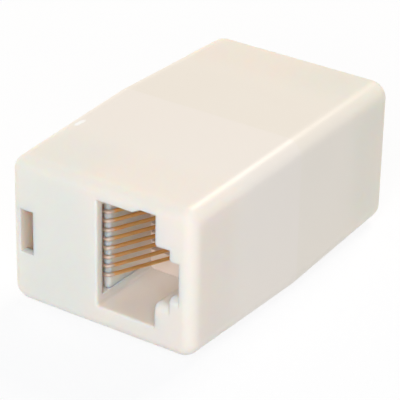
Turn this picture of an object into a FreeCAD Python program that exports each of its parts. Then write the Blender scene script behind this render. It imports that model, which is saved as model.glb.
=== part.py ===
"""Inline coupler for two 8-position modular plugs.

Two identical drafted half shells meet at mid length and snap together.  Each has a jack lying on its
side in its end face: contacts on the inner side, latch keeper towards the outer wall.  A contact
carrier in the middle joins the two jacks.  Eight round spring wires lie in its slots, fold round its
nose at each end and lean back into the plug space.

Millimetres.  X runs across the end faces, Y from the front end to the rear end, Z up.  The origin is
under the middle of the coupler, on the level of the seam's lower edge.  The rear half of everything is
the front half turned by half a turn about Z.
"""
import FreeCAD
import Part
import math
import os

Vector = FreeCAD.Vector

# ---------------------------------------------------------------- housing
LENGTH = 37.5              # over both end faces
SEAM_WIDTH = 23.0          # largest section, at the seam
SEAM_HEIGHT = 17.2
DRAFT_DEG = 1.2            # all four sides taper towards the end faces
LONG_EDGE_RADIUS = 1.85
END_EDGE_RADIUS = 1.3
LEAST_RADIUS = 0.2         # long edges inside, where the wall takes up the outer radius
SIDE_WALL = 1.25
END_WALL = 1.0

# ---------------------------------------------------------------- jack, lying on its side
JACK_RISE = 0.37           # jack centre above the housing's mid height
CONTACT_OFFSET = 0.4       # contact side of the jack, beyond the centre plane
PLUG_WIDTH = 12.0          # opening along Z
PLUG_HEIGHT = 7.03         # opening along X, contact side to latch side
LATCH_WIDTH = 6.4          # first latch step, along Z
LATCH_STEP = 1.69          # first latch step, along X
TAB_WIDTH = 4.0            # second latch step, along Z
TAB_STEP = 1.09            # second latch step, along X
KEY_WIDTH = 1.85           # relief beside the latch, in the upper side only
KEY_STEP = 0.5
KEY_SLOPE = 1.8            # length of the relief's slope over its height
JACK_DEPTH = 9.5           # end face to plug stop
CORNER_RADIUS = 0.3        # corners of the opening
LEAD_IN_RADIUS = 0.95      # front edges of the lower latch ledges
LIP_RADIUS = 0.25          # front edge of the opening's plain sides

# ---------------------------------------------------------------- snap catch
SLOT_WIDTH = 1.6           # window in the end wall, along X, flush with the side wall's inner face
SLOT_HEIGHT = 4.9
CATCH_DEPTH = 5.5          # end face to the catch's locking face
CATCH_HEIGHT = 0.9
CATCH_LENGTH = 3.0
ARM_THICKNESS = 1.3
ARM_WIDTH = 4.2            # along Z
ARM_ROOT_DEPTH = 12.5      # end face to the arm's root
ARM_ROOT_LENGTH = 4.0
HOOK_HEIGHT = 0.75
HOOK_LENGTH = 1.7
SNAP_CLEARANCE = 0.1

# ---------------------------------------------------------------- contact carrier
CARRIER_THICKNESS = 1.38   # plate beside the plug space
CARRIER_RECESS = 0.09      # plate's face behind the contact side of the plug space
NOSE_SETBACK = 2.26        # end face to the carrier's nose
NOSE_RADIUS = 0.45         # tangent to the plate's face
STOP_WALL = 1.4            # cross wall that stops the plug
STOP_MARGIN = 0.67         # cross wall past the latch side of the plug space
STOP_OVERLAP = 0.7         # cross wall over the ends of the jack's upper and lower sides
TIP_SLOT_REACH = 3.75      # tip slots, from the contact side
TIP_SLOT_DEPTH = 1.0
RAIL_HEIGHT = 0.92         # rails that the plate stands between
RIB_THICKNESS = 1.0        # ribs on the rails, at the back of the plate
RIB_HEIGHT = 1.0
FIT_CLEARANCE = 0.05

# ---------------------------------------------------------------- contact wires
WIRE_COUNT = 8
WIRE_DIAMETER = 0.42
WIRE_SIDES = 8             # flats that the round section is drawn with
FOLD_CHORDS = 8            # chords that the fold is drawn with
WIRE_PITCH = 1.02
WIRE_CLEARANCE = 0.02      # each side, in the slots
FOLD_RADIUS = 0.49         # centre line, round the nose
LEG_ANGLE_DEG = 25.0       # free leg from the Y axis
TIP_PAST_STOP = 0.6        # tip behind the face of the plug stop

# ---------------------------------------------------------------- worked out
TAPER = math.tan(math.radians(DRAFT_DEG))
FRONT = -LENGTH / 2
MID_Z = SEAM_HEIGHT / 2
JACK_Z = MID_Z + JACK_RISE
FLOOR_Z = JACK_Z - PLUG_WIDTH / 2
CEILING_Z = JACK_Z + PLUG_WIDTH / 2
CONTACT_X = -CONTACT_OFFSET
LATCH_X = CONTACT_X + PLUG_HEIGHT
STEP_X = LATCH_X + LATCH_STEP
TAB_X = STEP_X + TAB_STEP
STOP_Y = FRONT + JACK_DEPTH
PLATE_X = CONTACT_X - CARRIER_RECESS
CARRIER_X = PLATE_X - CARRIER_THICKNESS
PLATE_Z0 = FLOOR_Z + RAIL_HEIGHT
PLATE_Z1 = CEILING_Z - RAIL_HEIGHT
FOLD_X = PLATE_X - NOSE_RADIUS
FOLD_Y = FRONT + NOSE_SETBACK + NOSE_RADIUS
RUN_ANGLE = math.atan(FOLD_X / FOLD_Y) + math.asin(FOLD_RADIUS / math.hypot(FOLD_X, FOLD_Y))
LEG_ANGLE = math.radians(LEG_ANGLE_DEG)
WIRE_SLOT = WIRE_DIAMETER + 2 * WIRE_CLEARANCE
SLOT_REACH = 2.0           # wire slots, outwards past the carrier's surface
PAST = 1.0                 # overrun of cutting tools past a face
TOLERANCE = 1e-6           # for picking edges by their place
MITRED = 1                 # sharp corners between the runs of a sweep


def box(x0, x1, y0, y1, z0, z1):
    """Box between three pairs of planes."""
    return Part.makeBox(x1 - x0, y1 - y0, z1 - z0, Vector(x0, y0, z0))


def rounded_outline(points, radii):
    """Closed outline through the points, with a tangent arc of the given radius at each corner."""
    starts, ends, arcs = [], [], []
    for i, corner in enumerate(points):
        back = (points[i - 1] - corner).normalize()
        ahead = (points[(i + 1) % len(points)] - corner).normalize()
        half = back.getAngle(ahead) / 2
        reach = radii[i] / math.tan(half)
        starts.append(corner + back * reach)
        ends.append(corner + ahead * reach)
        if radii[i] == 0:
            arcs.append([])
            continue
        middle = (back + ahead).normalize() * (radii[i] / math.sin(half) - radii[i])
        arcs.append([Part.Arc(starts[i], corner + middle, ends[i]).toShape()])
    chain = []
    for i, arc in enumerate(arcs):
        chain += arc + [Part.LineSegment(ends[i], starts[(i + 1) % len(points)]).toShape()]
    return Part.Wire(chain)


def prism(outline, direction):
    """Solid swept from a closed outline: a list of points or a wire."""
    wire = outline if isinstance(outline, Part.Wire) else Part.makePolygon(outline + outline[:1])
    return Part.Face(wire).extrude(direction)


def plan_prism(points, z0, z1):
    """Upright prism over a plan outline given as (x, y) pairs."""
    return prism([Vector(x, y, z0) for x, y in points], Vector(0, 0, z1 - z0))


def half_turned(shape):
    """The shape turned by half a turn about Z."""
    turned = shape.copy()
    turned.rotate(Vector(0, 0, 0), Vector(0, 0, 1), 180)
    return turned


def drafted_block(y_end, inset, long_radius, end_radius):
    """Drafted block from the seam to y_end, drawn in by inset, with long and end edges rounded."""
    half, top = SEAM_WIDTH / 2 - inset, SEAM_HEIGHT - inset
    slope = abs(y_end) * TAPER
    block = Part.makeWedge(slope - half, y_end, inset + slope, inset, -half,
                           half - slope, 0, top - slope, top, half)
    long_edges = [e for e in block.Edges if e.BoundBox.YLength > abs(y_end) - TOLERANCE]
    block = block.makeFillet(long_radius, long_edges)
    if end_radius > 0:
        end_edges = [e for e in block.Edges if e.BoundBox.YMax < y_end + TOLERANCE]
        block = block.makeFillet(end_radius, end_edges)
    return block


def inner_face_x(depth):
    """Distance of the side wall's inner face from the centre plane, at a depth from the end face."""
    return SEAM_WIDTH / 2 - (LENGTH / 2 - depth) * TAPER - SIDE_WALL


def round_over(start, along, into_a, into_b, radius):
    """Cutter that rounds an outer edge: the corner less a quarter disc, swept along the edge."""
    middle = start + (into_a + into_b) * (radius * (1 - math.sqrt(0.5)))
    a = start + into_a * radius
    b = start + into_b * radius
    outline = Part.Wire([Part.LineSegment(start, a).toShape(), Part.Arc(a, middle, b).toShape(),
                         Part.LineSegment(b, start).toShape()])
    return prism(outline, along)


def jack_outline():
    """Section of the jack: plug body, two latch steps and the relief in the upper side."""
    key_x = LATCH_X - KEY_WIDTH
    slope_x = key_x - KEY_STEP * KEY_SLOPE
    corners = [
        (CONTACT_X, FLOOR_Z, CORNER_RADIUS), (LATCH_X, FLOOR_Z, 0),
        (LATCH_X, JACK_Z - LATCH_WIDTH / 2, CORNER_RADIUS), (STEP_X, JACK_Z - LATCH_WIDTH / 2, 0),
        (STEP_X, JACK_Z - TAB_WIDTH / 2, CORNER_RADIUS), (TAB_X, JACK_Z - TAB_WIDTH / 2, 0),
        (TAB_X, JACK_Z + TAB_WIDTH / 2, 0), (STEP_X, JACK_Z + TAB_WIDTH / 2, CORNER_RADIUS),
        (STEP_X, JACK_Z + LATCH_WIDTH / 2, 0), (LATCH_X, JACK_Z + LATCH_WIDTH / 2, CORNER_RADIUS),
        (LATCH_X, CEILING_Z + KEY_STEP, 0), (key_x, CEILING_Z + KEY_STEP, KEY_STEP),
        (slope_x, CEILING_Z, KEY_STEP), (CONTACT_X, CEILING_Z, 0),
    ]
    points = [Vector(x, FRONT - PAST, z) for x, z, radius in corners]
    return rounded_outline(points, [radius for x, z, radius in corners])


def round_lip(shell):
    """Rounds the front edge of the opening along its contact side and its floor."""
    corner_x = CONTACT_X + CORNER_RADIUS + TOLERANCE
    corner_z = FLOOR_Z + CORNER_RADIUS + TOLERANCE
    lip = []
    for edge in shell.Edges:
        b = edge.BoundBox
        in_face = b.YMax < FRONT + TOLERANCE
        in_opening = (b.XMin > CONTACT_X - TOLERANCE and b.XMax < LATCH_X + TOLERANCE
                      and b.ZMin > FLOOR_Z - TOLERANCE)
        if in_face and in_opening and (b.XMax < corner_x or b.ZMax < corner_z):
            lip.append(edge)
    return shell.makeFillet(LIP_RADIUS, lip)


def plug_space():
    """Cutters behind the front wall: the wide channel behind the keeper and room for the plate."""
    inner = FRONT + END_WALL
    behind = STOP_Y + PAST
    latch_z0, latch_z1 = JACK_Z - LATCH_WIDTH / 2, JACK_Z + LATCH_WIDTH / 2
    return [
        box(LATCH_X + CORNER_RADIUS, TAB_X, inner, behind, latch_z0, latch_z1),
        box(CARRIER_X - FIT_CLEARANCE, LATCH_X - PAST, inner, behind, PLATE_Z0, PLATE_Z1),
        box(CARRIER_X - RIB_THICKNESS - PAST, LATCH_X - PAST, inner, behind,
            PLATE_Z0 + RIB_HEIGHT, PLATE_Z1 - RIB_HEIGHT),
    ]


def lead_ins():
    """Cutters that round the front edges of the two lower latch ledges."""
    back, down = Vector(0, 1, 0), Vector(0, 0, -1)
    ledge = Vector(LATCH_X - CORNER_RADIUS, FRONT, JACK_Z - LATCH_WIDTH / 2)
    keeper = Vector(STEP_X - CORNER_RADIUS, FRONT, JACK_Z - TAB_WIDTH / 2)
    return [
        round_over(ledge, Vector(LATCH_STEP + CORNER_RADIUS, 0, 0), back, down, LEAD_IN_RADIUS),
        round_over(keeper, Vector(TAB_STEP + CORNER_RADIUS, 0, 0), back, down, LEAD_IN_RADIUS),
    ]


def snap_arm(outer):
    """Arm on the latch side: a root on the side wall, a long beam and a hook that points outwards."""
    wall_x = inner_face_x(CATCH_DEPTH)
    outer_x = wall_x - CATCH_HEIGHT - SNAP_CLEARANCE
    inner_x = outer_x - ARM_THICKNESS
    root_y = FRONT + ARM_ROOT_DEPTH
    lock_y = -FRONT - CATCH_DEPTH + SNAP_CLEARANCE
    tip_y = lock_y + HOOK_LENGTH
    z0, z1 = MID_Z - ARM_WIDTH / 2, MID_Z + ARM_WIDTH / 2
    beam = plan_prism([(inner_x, root_y), (outer_x, root_y), (outer_x, lock_y),
                       (outer_x + HOOK_HEIGHT, lock_y), (outer_x + HOOK_HEIGHT, lock_y + HOOK_LENGTH / 3),
                       (outer_x, tip_y), (inner_x, tip_y)], z0, z1)
    root = box(inner_x, SEAM_WIDTH / 2, root_y, root_y + ARM_ROOT_LENGTH, z0, z1).common(outer)
    return beam.fuse(root)


def snap_catch(outer):
    """Wedge on the other side wall: its upright face holds the hook, its ramp lets the hook in."""
    wall_x = inner_face_x(CATCH_DEPTH)
    lock_y = FRONT + CATCH_DEPTH
    tip_x = wall_x - CATCH_HEIGHT
    half = SLOT_HEIGHT / 2 - SNAP_CLEARANCE
    buried = SEAM_WIDTH / 2
    wedge = plan_prism([(-buried, lock_y), (-tip_x, lock_y), (-tip_x, lock_y + CATCH_LENGTH / 3),
                        (-wall_x, lock_y + CATCH_LENGTH), (-buried, lock_y + CATCH_LENGTH)],
                       MID_Z - half, MID_Z + half)
    return wedge.common(outer)


def half_shell():
    """Front half shell, one moulding open at the seam."""
    outer = drafted_block(FRONT, 0, LONG_EDGE_RADIUS, END_EDGE_RADIUS)
    hollow_radius = max(LONG_EDGE_RADIUS - SIDE_WALL, LEAST_RADIUS)
    shell = outer.cut(drafted_block(FRONT + END_WALL, SIDE_WALL, hollow_radius, 0))
    jack_block = box(CARRIER_X - RIB_THICKNESS, SEAM_WIDTH / 2, FRONT, STOP_Y, 0, SEAM_HEIGHT).common(outer)
    shell = shell.fuse(jack_block).removeSplitter()
    shell = round_lip(shell.cut(prism(jack_outline(), Vector(0, JACK_DEPTH + 2 * PAST, 0))))
    shell = shell.cut(plug_space() + lead_ins()).removeSplitter()
    slot_x = -inner_face_x(END_WALL)
    slot = box(slot_x, slot_x + SLOT_WIDTH, FRONT - PAST, FRONT + END_WALL + PAST,
               MID_Z - SLOT_HEIGHT / 2, MID_Z + SLOT_HEIGHT / 2)
    shell = shell.cut(slot).fuse([snap_arm(outer), snap_catch(outer)])
    return shell.removeSplitter()


def wire_levels():
    """Heights of the wires, lowest first, centred on the latch."""
    return [JACK_Z + (i - (WIRE_COUNT - 1) / 2) * WIRE_PITCH for i in range(WIRE_COUNT)]


def wire_path(z, end_y):
    """Points of half a wire's centre line: the leg's end at end_y, the fold in chords, the middle."""
    turn = (math.pi - LEG_ANGLE + RUN_ANGLE) / FOLD_CHORDS
    angles = [-LEG_ANGLE - i * turn for i in range(FOLD_CHORDS + 1)]
    fold = [Vector(FOLD_X + FOLD_RADIUS * math.cos(a), FOLD_Y + FOLD_RADIUS * math.sin(a), z) for a in angles]
    leg_y = end_y - fold[0].y
    return [fold[0] + Vector(leg_y * math.tan(LEG_ANGLE), leg_y, 0)] + fold + [Vector(0, 0, z)]


def swept(points, outline):
    """Mitred solid along a level path; the outline's points are (outwards of the fold, up) pairs."""
    along = (points[1] - points[0]).normalize()
    outwards = Vector(-along.y, along.x, 0)
    corners = [points[0] + outwards * across + Vector(0, 0, up) for across, up in outline]
    profile = Part.makePolygon(corners + corners[:1])
    return Part.makePolygon(points).makePipeShell([profile], True, False, MITRED)


def contact_wire(z):
    """Round spring wire at height z, with flats towards the carrier."""
    front = wire_path(z, STOP_Y + TIP_PAST_STOP)[:-1]
    rear = [Vector(-p.x, -p.y, z) for p in reversed(front)]
    half_side = math.pi / WIRE_SIDES
    reach = WIRE_DIAMETER / 2 / math.cos(half_side)
    angles = [half_side * (2 * i + 1) for i in range(WIRE_SIDES)]
    return swept(front + rear, [(reach * math.cos(a), reach * math.sin(a)) for a in angles])


def wire_slot(z):
    """Room for half a wire: open on the fold's outer side, with a floor that touches the wire."""
    half, floor = WIRE_SLOT / 2, -WIRE_DIAMETER / 2
    outline = [(floor, -half), (SLOT_REACH, -half), (SLOT_REACH, half), (floor, half)]
    tip = box(CONTACT_X, CONTACT_X + TIP_SLOT_REACH, STOP_Y - PAST, STOP_Y + TIP_SLOT_DEPTH, z - half, z + half)
    return [swept(wire_path(z, STOP_Y), outline), tip]


def contact_carrier():
    """Plate with its nose, plug stop and half of the middle block, joined to a half-turned copy."""
    height = PLATE_Z1 - FIT_CLEARANCE - PLATE_Z0
    nose = Part.makeCylinder(NOSE_RADIUS, height, Vector(FOLD_X, FOLD_Y, PLATE_Z0))
    plate = box(CARRIER_X, PLATE_X, FOLD_Y, STOP_Y, PLATE_Z0, PLATE_Z0 + height)
    block = box(CARRIER_X, -CARRIER_X, STOP_Y, 0, PLATE_Z0, PLATE_Z0 + height)
    stop = box(CARRIER_X, LATCH_X + STOP_MARGIN, STOP_Y, STOP_Y + STOP_WALL,
               FLOOR_Z - STOP_OVERLAP, CEILING_Z + STOP_OVERLAP)
    half = plate.fuse([nose, block, stop])
    slots = [cutter for z in wire_levels() for cutter in wire_slot(z)]
    carrier = half.fuse(half_turned(half)).cut(slots + [half_turned(s) for s in slots])
    return carrier.removeSplitter()


def main():
    os.makedirs("parts", exist_ok=True)
    front = half_shell()
    nodes = {
        "front_shell": front,
        "rear_shell": half_turned(front),
        "contact_carrier": contact_carrier(),
    }
    for number, z in enumerate(wire_levels(), 1):
        nodes["contact_wire_%d" % number] = contact_wire(z)
    for name, shape in nodes.items():
        shape.exportStep("parts/%s.step" % name)
        print(name, "valid", shape.isValid(), "solids", len(shape.Solids), "volume %.2f" % shape.Volume)


main()
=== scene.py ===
"""Dresses the inline coupler: ivory moulded housing, contact carrier and gold spring wires."""
import bpy
import math
import numpy as np
from mathutils import Matrix, Vector


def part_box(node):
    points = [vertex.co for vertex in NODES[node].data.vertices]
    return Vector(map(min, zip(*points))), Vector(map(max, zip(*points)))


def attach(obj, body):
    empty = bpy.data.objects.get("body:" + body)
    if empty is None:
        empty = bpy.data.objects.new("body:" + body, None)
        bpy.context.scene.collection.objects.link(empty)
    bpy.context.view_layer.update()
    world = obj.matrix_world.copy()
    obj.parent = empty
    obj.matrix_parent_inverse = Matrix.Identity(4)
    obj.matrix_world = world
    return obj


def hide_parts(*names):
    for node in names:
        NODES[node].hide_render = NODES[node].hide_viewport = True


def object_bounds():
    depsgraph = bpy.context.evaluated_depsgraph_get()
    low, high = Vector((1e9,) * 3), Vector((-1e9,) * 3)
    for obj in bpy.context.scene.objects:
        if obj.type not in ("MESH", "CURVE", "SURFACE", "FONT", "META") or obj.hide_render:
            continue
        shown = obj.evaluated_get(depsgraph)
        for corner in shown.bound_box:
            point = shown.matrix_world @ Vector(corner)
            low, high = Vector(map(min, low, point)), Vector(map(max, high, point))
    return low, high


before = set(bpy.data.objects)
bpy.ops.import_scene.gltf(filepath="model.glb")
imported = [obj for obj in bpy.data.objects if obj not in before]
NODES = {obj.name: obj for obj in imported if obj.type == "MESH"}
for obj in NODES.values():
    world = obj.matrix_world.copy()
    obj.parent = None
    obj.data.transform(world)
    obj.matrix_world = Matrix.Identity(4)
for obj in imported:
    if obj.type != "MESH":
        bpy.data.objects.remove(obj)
cad_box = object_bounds()
SCENE = bpy.context.scene
MM = 0.001


# ------------------------------------------------------------------------------------------------
# Housing halves.  Two identical ivory ABS mouldings that snap together at the middle.  The mould is
# finely spark-eroded, so the faces have a soft satin sheen and the rounded edges catch a thin light.
# ------------------------------------------------------------------------------------------------
def linear(hex_value):
    """sRGB hex colour as linear RGBA: below 0.04045 divided by 12.92, above it the 2.4 power law."""
    parts = [int(hex_value[i:i + 2], 16) / 255 for i in (1, 3, 5)]
    return [p / 12.92 if p <= 0.04045 else ((p + 0.055) / 1.055) ** 2.4 for p in parts] + [1.0]


def add(tree, kind, settings=None, **links):
    """Adds a node: settings are its properties, and each link is a socket's value or another socket.

    A link is named as its socket, with _ for a space, or _ and the socket's number where names repeat.
    """
    node = tree.nodes.new(kind)
    for name, value in (settings or {}).items():
        setattr(node, name, value)
    for name, value in links.items():
        key = int(name[1:]) if name[0] == "_" and name[1:].isdigit() else name.replace("_", " ")
        if isinstance(value, bpy.types.NodeSocket):
            tree.links.new(value, node.inputs[key])
        else:
            node.inputs[key].default_value = value
    return node


def new_material(name):
    """Empty node material, with its tree and its object coordinates."""
    material = bpy.data.materials.new(name)
    material.use_nodes = True
    tree = material.node_tree
    tree.nodes.clear()
    place = tree.nodes.new("ShaderNodeTexCoord").outputs["Object"]
    return material, tree, place


def finish_material(tree, shader):
    """Joins the shader to the material's output."""
    out = tree.nodes.new("ShaderNodeOutputMaterial")
    tree.links.new(shader.outputs[0], out.inputs["Surface"])


ABS_MOTTLE = 9 * MM        # faint cloudiness of the pigment
ABS_GRAIN = 0.22 * MM      # eroded texture; the real one is about 0.05 mm and would not show
ABS_GRAIN_HEIGHT = 0.001 * MM
ABS_HANDLING = 14 * MM     # faint smears from handling
ABS_IOR = 1.5
ABS_SHEEN_SPREAD = 0.02    # how far the smears move the roughness either way
ABS_ARRIS = 0.16 * MM      # softness of the housing's mould edges
ABS_DEPTH = 1.8 * MM       # how far light wanders in the pigmented plastic
ABS_DEPTH_BY_COLOUR = (1.0, 0.66, 0.45)   # shares of that depth for red, green and blue light
SEEP_FROM = 8 * MM         # from the seam; nearer than this no light seeps through the plastic
SEEP_FULL = 14 * MM        # from the seam; beyond this it seeps in full
SEAM_REACH = 0.4 * MM      # the two halves close without a groove, so edges this near the seam stay sharp


def moulded_abs(name, light, deep, roughness, grain_height, arris):
    """Ivory ABS: pigment clouds between two close tones, satin sheen, light that seeps through thin walls.

    Mould edges are never quite sharp: their shading is rounded by arris, away from the seam.
    """
    material, tree, place = new_material(name)
    clouds = add(tree, "ShaderNodeTexNoise", Vector=place, Scale=1 / ABS_MOTTLE, Detail=1.0, Roughness=0.5)
    tone = add(tree, "ShaderNodeMix", {"data_type": "RGBA"}, Factor=clouds.outputs["Fac"],
               _6=linear(light), _7=linear(deep))
    smears = add(tree, "ShaderNodeTexNoise", Vector=place, Scale=1 / ABS_HANDLING, Detail=1.0, Roughness=0.5)
    sheen = add(tree, "ShaderNodeMapRange", {"interpolation_type": "SMOOTHSTEP"},
                Value=smears.outputs["Fac"], From_Min=0.1, From_Max=0.9,
                To_Min=roughness - ABS_SHEEN_SPREAD, To_Max=roughness + ABS_SHEEN_SPREAD)
    grain = add(tree, "ShaderNodeTexNoise", Vector=place, Scale=1 / ABS_GRAIN, Detail=2.0, Roughness=0.5)
    axes = add(tree, "ShaderNodeSeparateXYZ", Vector=place)
    from_seam = add(tree, "ShaderNodeMath", {"operation": "ABSOLUTE"}, _0=axes.outputs["Y"])
    away = add(tree, "ShaderNodeMath", {"operation": "GREATER_THAN"}, _0=from_seam.outputs[0], _1=SEAM_REACH)
    radius = add(tree, "ShaderNodeMath", {"operation": "MULTIPLY"}, _0=away.outputs[0], _1=arris)
    edge = add(tree, "ShaderNodeBevel", {"samples": 6}, Radius=radius.outputs[0])
    bump = add(tree, "ShaderNodeBump", Height=grain.outputs["Fac"], Strength=0.25, Distance=grain_height,
               Normal=edge.outputs["Normal"])
    seep = add(tree, "ShaderNodeMapRange", {"interpolation_type": "SMOOTHSTEP"},
               Value=from_seam.outputs[0], From_Min=SEEP_FROM, From_Max=SEEP_FULL)
    plastic = add(tree, "ShaderNodeBsdfPrincipled", {"subsurface_method": "RANDOM_WALK"},
                  Base_Color=tone.outputs[2], Roughness=sheen.outputs["Result"], IOR=ABS_IOR,
                  Normal=bump.outputs["Normal"], Subsurface_Weight=seep.outputs["Result"],
                  Subsurface_Radius=ABS_DEPTH_BY_COLOUR, Subsurface_Scale=ABS_DEPTH)
    finish_material(tree, plastic)
    return material


SCUFF_PLACE = (cad_box[0].x + 2.1 * MM, cad_box[0].y + 9.45 * MM, cad_box[1].z - 0.2 * MM)
SCUFF_REACH = (0.35 * MM, 1.2 * MM, 0.3 * MM)
SCUFF_RAGGED = 0.5 * MM    # size of the bits that break up its outline
SCUFF_OUTLINE = (1.4, 1.0)   # it fades in between these shares of its reach, the noise added
SCUFF_STRENGTH = 0.9
SCUFF_COLOUR = "#FFFDF8"


def scuff(material):
    """A small pale scuff near the left long edge: an ellipsoid of lighter colour, broken up by noise."""
    tree = material.node_tree
    plastic = next(n for n in tree.nodes if n.type == "BSDF_PRINCIPLED")
    place = next(n for n in tree.nodes if n.type == "TEX_COORD").outputs["Object"]
    clean = plastic.inputs["Base Color"].links[0].from_socket
    away = add(tree, "ShaderNodeVectorMath", {"operation": "SUBTRACT"}, _0=place, _1=SCUFF_PLACE)
    share = add(tree, "ShaderNodeVectorMath", {"operation": "DIVIDE"}, _0=away.outputs[0], _1=SCUFF_REACH)
    far = add(tree, "ShaderNodeVectorMath", {"operation": "LENGTH"}, _0=share.outputs[0])
    ragged = add(tree, "ShaderNodeTexNoise", Vector=place, Scale=1 / SCUFF_RAGGED, Detail=2.0)
    edge = add(tree, "ShaderNodeMath", {"operation": "ADD"}, _0=far.outputs["Value"],
               _1=ragged.outputs["Fac"])
    mark = add(tree, "ShaderNodeMapRange", Value=edge.outputs[0], From_Min=SCUFF_OUTLINE[0],
               From_Max=SCUFF_OUTLINE[1], To_Min=0.0, To_Max=SCUFF_STRENGTH)
    pale = add(tree, "ShaderNodeMix", {"data_type": "RGBA"}, Factor=mark.outputs["Result"], _6=clean,
               _7=linear(SCUFF_COLOUR))
    tree.links.new(pale.outputs[2], plastic.inputs["Base Color"])


def wear(node_name, material):
    """Gives a CAD node one material in every slot."""
    mesh = NODES[node_name].data
    if not mesh.materials:
        mesh.materials.append(material)
    for i in range(len(mesh.materials)):
        mesh.materials[i] = material


front_ivory = moulded_abs("ivory_abs_front_half", "#F0E8DC", "#EFE6D9", 0.32, ABS_GRAIN_HEIGHT, ABS_ARRIS)
rear_ivory = moulded_abs("ivory_abs_rear_half", "#EFE7D9", "#EDE4D5", 0.33, ABS_GRAIN_HEIGHT, ABS_ARRIS)
scuff(front_ivory)
wear("front_shell", front_ivory)
wear("rear_shell", rear_ivory)


# ------------------------------------------------------------------------------------------------
# Contact carrier.  A one-piece insert of unpolished ivory ABS, trapped between the halves.  Its nose
# is combed by the wire slots, and its cross walls stop the plugs.  Its tones are paler and pinker
# than the housing's: partly its own colour, partly painted warm light inside the jack.
# ------------------------------------------------------------------------------------------------
CARRIER_GRAIN_HEIGHT = 0.005 * MM   # unpolished, so coarser than the housing
CARRIER_ARRIS = 0.05 * MM

# paler, pinker tones than the housing: partly the insert's own colour, partly painted warm light in the jack
carrier_abs = moulded_abs("carrier_abs_with_painted_warm_light", "#FCEBDB", "#F8E6D5", 0.45,
                          CARRIER_GRAIN_HEIGHT, CARRIER_ARRIS)
wear("contact_carrier", carrier_abs)


# ------------------------------------------------------------------------------------------------
# Contact wires.  Eight hard-drawn phosphor bronze wires, nickel plated, with a gold flash only on the
# legs that the plug touches.  The pale tone of the folds is partly a painted highlight.  They are laid
# in the carrier's slots and folded round its nose.
# ------------------------------------------------------------------------------------------------
WIRE_RADIUS = 0.21 * MM
FOLD_RADIUS = 0.49 * MM    # centre line, round the nose
LEG_ANGLE = math.radians(25)
LEG_DEPTH = 10.1 * MM      # end face to the end of the leg
FOLD_STEPS = 33            # points round each fold
LEG_STEPS = 13             # points along each straight leg
WIRE_LINES = 0.05 * MM     # spacing of the drawing lines round the wire
WIRE_LINE_STRETCH = 0.04   # scale of the lines along the wire, as a share of that across it
WIRE_LINE_HEIGHT = 0.004 * MM
PLATING_PATCH = 1.4 * MM   # length of the tone changes
GOLD_TONES = ("#FFDCA0", "#F4C07C")
# pale, pinkish metal for the folds: bare nickel, and partly a painted highlight
NICKEL_AND_HIGHLIGHT_TONES = ("#F0E2D8", "#E6D5C8")
GOLD_ROUGHNESS = (0.34, 0.48)   # across the drawing lines
NICKEL_MATT = 0.25         # the nickel is that much rougher than the gold
GOLD_ENDS = 15.9 * MM      # from the middle of the coupler; the gold fades out from here
PALE_FOLD_STARTS = 16.15 * MM   # from the middle; bare nickel, partly a painted highlight, from here to the end of the fold


def wire_centre_line(low, high):
    """Front leg, fold, run, rear fold and rear leg, as rows of points at the wire's height.

    The fold's arc turns about a centre that stands one fold radius and one wire radius inside the box's
    low Y, and in X where a straight leg from the arc reaches the box's high X.  The run is the tangent
    from the arc to the Z axis.  The rear half is the front half turned by half a turn.
    """
    fold_y = low.y + FOLD_RADIUS + WIRE_RADIUS
    leg_end = np.array([high.x - WIRE_RADIUS * math.cos(LEG_ANGLE), cad_box[0].y + LEG_DEPTH])
    leg_reach = leg_end[1] - fold_y + FOLD_RADIUS * math.sin(LEG_ANGLE)
    fold_x = leg_end[0] - leg_reach * math.tan(LEG_ANGLE) - FOLD_RADIUS * math.cos(LEG_ANGLE)
    run_angle = math.atan(fold_x / fold_y) + math.asin(FOLD_RADIUS / math.hypot(fold_x, fold_y))
    angles = np.linspace(-LEG_ANGLE, -math.pi - run_angle, FOLD_STEPS)
    arc = np.column_stack([fold_x + FOLD_RADIUS * np.cos(angles), fold_y + FOLD_RADIUS * np.sin(angles)])
    share = np.linspace(0, 1, LEG_STEPS)[:-1, None]
    front = np.vstack([leg_end + (arc[0] - leg_end) * share, arc])
    line = np.vstack([front, -front[::-1]])
    return np.column_stack([line, np.full(len(line), (low.z + high.z) / 2)])


def round_wire(name, centre_line, radius, sides=24):
    """Tube round a level line: each ring is the point plus radius * (cos a * side + sin a * up).

    Side points left of the way along the line, so that the faces look outwards.
    """
    along = np.gradient(centre_line, axis=0)
    along /= np.linalg.norm(along, axis=1, keepdims=True)
    side = np.column_stack([-along[:, 1], along[:, 0], np.zeros(len(along))])
    angle = np.linspace(0, 2 * math.pi, sides, endpoint=False)
    around = np.cos(angle)[:, None] * side[:, None] + np.sin(angle)[:, None] * np.array([0, 0, 1.0])
    points = (centre_line[:, None] + radius * around).reshape(-1, 3)
    ring, turn = np.meshgrid(np.arange(len(centre_line) - 1) * sides, np.arange(sides), indexing="ij")
    after = (turn + 1) % sides
    quads = np.stack([ring + turn, ring + after, ring + after + sides, ring + turn + sides], axis=-1)
    last = (len(centre_line) - 1) * sides
    ends = [list(range(sides))[::-1], list(range(last, last + sides))]
    mesh = bpy.data.meshes.new(name)
    mesh.from_pydata(points, [], quads.reshape(-1, 4).tolist() + ends)
    mesh.shade_smooth()
    piece = bpy.data.objects.new(name, mesh)
    SCENE.collection.objects.link(piece)
    return piece


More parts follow.
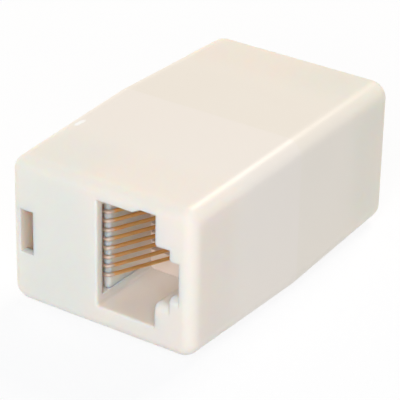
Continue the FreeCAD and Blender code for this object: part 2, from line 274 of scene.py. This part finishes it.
def plated_wire_with_painted_highlight(name):
    """Nickel with gold on the legs: metal in two close tones each, with lines drawn out along Y. The pale
    nickel tone on the folds is partly a painted highlight.
    """
    material, tree, place = new_material(name)
    patches = add(tree, "ShaderNodeTexNoise", Vector=place, Scale=1 / PLATING_PATCH, Detail=3.0,
                  Roughness=0.6)
    gold, nickel_and_highlight = (
        add(tree, "ShaderNodeMix", {"data_type": "RGBA"}, Factor=patches.outputs["Fac"],
            _6=linear(light), _7=linear(deep)).outputs[2]
        for light, deep in (GOLD_TONES, NICKEL_AND_HIGHLIGHT_TONES))
    axes = add(tree, "ShaderNodeSeparateXYZ", Vector=place)
    from_middle = add(tree, "ShaderNodeMath", {"operation": "ABSOLUTE"}, _0=axes.outputs["Y"])
    # painted highlight in part: here the folds turn from gold to the pale nickel tone
    bare_and_highlight = add(tree, "ShaderNodeMapRange", Value=from_middle.outputs[0], From_Min=GOLD_ENDS,
               From_Max=PALE_FOLD_STARTS)
    plating_and_highlight = add(tree, "ShaderNodeMix", {"data_type": "RGBA"}, Factor=bare_and_highlight.outputs["Result"], _6=gold,
                  _7=nickel_and_highlight)
    drawn = add(tree, "ShaderNodeMapping", Vector=place, Scale=(1.0, WIRE_LINE_STRETCH, 1.0))
    lines = add(tree, "ShaderNodeTexNoise", Vector=drawn.outputs["Vector"], Scale=1 / WIRE_LINES,
                Detail=2.0)
    bump = add(tree, "ShaderNodeBump", Height=lines.outputs["Fac"], Strength=0.2,
               Distance=WIRE_LINE_HEIGHT)
    rough = add(tree, "ShaderNodeMapRange", Value=lines.outputs["Fac"], From_Min=0.3, From_Max=0.7,
                To_Min=GOLD_ROUGHNESS[0], To_Max=GOLD_ROUGHNESS[1])
    matt = add(tree, "ShaderNodeMath", {"operation": "MULTIPLY_ADD"}, _0=bare_and_highlight.outputs["Result"],
               _1=NICKEL_MATT, _2=rough.outputs["Result"])
    metal = add(tree, "ShaderNodeBsdfPrincipled", Base_Color=plating_and_highlight.outputs[2], Metallic=1.0,
                Roughness=matt.outputs[0], Normal=bump.outputs["Normal"])
    finish_material(tree, metal)
    return material


wire_plating_and_highlight = plated_wire_with_painted_highlight("gold_on_nickel_bronze_wire_painted_highlight")
for wire_name in sorted(n for n in NODES if n.startswith("contact_wire_")):
    piece = round_wire("round_" + wire_name, wire_centre_line(*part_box(wire_name)), WIRE_RADIUS)
    piece.data.materials.append(wire_plating_and_highlight)
    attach(piece, "root")
    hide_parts(wire_name)


# ------------------------------------------------------------------------------------------------
# Floor.  A plain sheet of matt white paper that the coupler rests on.  It is seen as white and keeps
# a soft shadow of the coupler.
# ------------------------------------------------------------------------------------------------
FLOOR_REACH = 2.0          # metres each way from the middle
SHADOW_SHARE = 0.15        # how much of the floor's own shading is seen
PAPER = (0.82, 0.82, 0.82, 1.0)
WHITE = (1.0, 1.0, 1.0, 1.0)

corners = [(x * FLOOR_REACH, y * FLOOR_REACH, 0) for x, y in ((-1, -1), (1, -1), (1, 1), (-1, 1))]
floor_mesh = bpy.data.meshes.new("floor")
floor_mesh.from_pydata(corners, [], [(0, 1, 2, 3)])
floor = bpy.data.objects.new("floor", floor_mesh)
SCENE.collection.objects.link(floor)


def seen_directly(tree):
    """1 for camera, glossy and transmission rays, and 0 for light that bounces off diffusely."""
    path = tree.nodes.new("ShaderNodeLightPath")
    total = add(tree, "ShaderNodeMath", {"operation": "MAXIMUM"}, _0=path.outputs["Is Camera Ray"],
                _1=path.outputs["Is Glossy Ray"])
    return add(tree, "ShaderNodeMath", {"operation": "MAXIMUM"}, _0=total.outputs[0],
               _1=path.outputs["Is Transmission Ray"]).outputs[0]


floor_material, tree, _ = new_material("white_paper_floor")
paper = add(tree, "ShaderNodeBsdfDiffuse", Color=PAPER)
white = add(tree, "ShaderNodeEmission", Color=WHITE, Strength=1.02)
share = add(tree, "ShaderNodeMath", {"operation": "MULTIPLY"}, _0=seen_directly(tree), _1=1 - SHADOW_SHARE)
sheet = add(tree, "ShaderNodeMixShader", _0=share.outputs[0], _1=paper.outputs[0], _2=white.outputs[0])
finish_material(tree, sheet)
floor_mesh.materials.append(floor_material)


# ------------------------------------------------------------------------------------------------
# Light.  An even white room, a cool soft box at the front right that also shines into the jack, and a
# warm one high behind that draws the lines on the rounded edges.  Part of the light isn't mirrored.
# ------------------------------------------------------------------------------------------------
ROOM_LIGHT = (0.97, 0.985, 1.0, 1.0)
ROOM_STRENGTH = 0.3
AIM = (0, 0, 0.01)
BEHIND = (0.0, 0.34, 0.38)
BEHIND_SIZE = 0.15
BEHIND_COLOUR = "#FFF3E4"
FRONT = (0.19, -0.38, 0.27)
FRONT_SIZE = 0.3
FRONT_COLOUR = "#EAF1FF"
SIDE = (-0.34, 0.06, 0.035)   # low on the left: it seeps through the thin wall beside the snap slot
SIDE_SIZE = 0.06
SIDE_COLOUR = "#FFF0E0"

world = bpy.data.worlds.new("white_room")
world.use_nodes = True
SCENE.world = world
tree = world.node_tree
tree.nodes.clear()
room_light = add(tree, "ShaderNodeBackground", Color=ROOM_LIGHT, Strength=ROOM_STRENGTH)
room_seen = add(tree, "ShaderNodeBackground", Color=WHITE, Strength=1.0)
room = add(tree, "ShaderNodeMixShader", _0=seen_directly(tree), _1=room_light.outputs[0],
           _2=room_seen.outputs[0])
world_out = tree.nodes.new("ShaderNodeOutputWorld")
tree.links.new(room.outputs[0], world_out.inputs["Surface"])


def soft_box(name, place, size, power, colour, mirrored):
    """Square area lamp at place, turned to AIM; sizes in metres, power in watts.

    A lamp that isn't mirrored lights the surfaces but doesn't show as a highlight on them.
    """
    lamp = bpy.data.lights.new(name, "AREA")
    lamp.size = size
    lamp.energy = power
    lamp.color = linear(colour)[:3]
    holder = bpy.data.objects.new(name, lamp)
    SCENE.collection.objects.link(holder)
    holder.location = place
    holder.rotation_mode = "QUATERNION"
    holder.rotation_quaternion = (Vector(AIM) - Vector(place)).to_track_quat("-Z", "Y")
    holder.visible_glossy = mirrored


soft_box("box_behind", BEHIND, BEHIND_SIZE, 0.5, BEHIND_COLOUR, mirrored=True)
soft_box("box_behind_fill", BEHIND, BEHIND_SIZE, 0.72, BEHIND_COLOUR, mirrored=False)
soft_box("box_front", FRONT, FRONT_SIZE, 0.7, FRONT_COLOUR, mirrored=True)
soft_box("box_front_fill", FRONT, FRONT_SIZE, 1.36, FRONT_COLOUR, mirrored=False)
soft_box("box_side_fill", SIDE, SIDE_SIZE, 0.6, SIDE_COLOUR, mirrored=False)


# ------------------------------------------------------------------------------------------------
# Camera.  Stands to the front right with a long lens, looks down at the coupler and leans a little.
# Its place is counted from the middle of the coupler.
# ------------------------------------------------------------------------------------------------
LENS = 196.5               # millimetres, on a sensor 36 mm wide
CAMERA_LEAN = math.radians(1.232)
CAMERA_DOWN = math.radians(27.934)
CAMERA_ROUND = math.radians(-33.319)   # from the front, about the vertical
CAMERA_STEPS = Vector((0.572, 228.883, 1.383)) * MM   # right, forwards and up from camera to middle

lens = bpy.data.cameras.new("camera")
lens.sensor_width = 36.0
lens.lens = LENS
lens.clip_start = 0.01
lens.clip_end = 10.0
turn = (Matrix.Rotation(CAMERA_LEAN, 3, "Y") @ Matrix.Rotation(CAMERA_DOWN, 3, "X")
        @ Matrix.Rotation(CAMERA_ROUND, 3, "Z"))
to_world = turn.transposed()
middle = (cad_box[0] + cad_box[1]) / 2
camera = bpy.data.objects.new("camera", lens)
SCENE.collection.objects.link(camera)
stand = middle - to_world @ CAMERA_STEPS
facing = (to_world @ Matrix.Rotation(math.radians(90), 3, "X")).to_4x4()
camera.matrix_world = Matrix.Translation(stand) @ facing
SCENE.camera = camera
SCENE.view_settings.view_transform = "Standard"
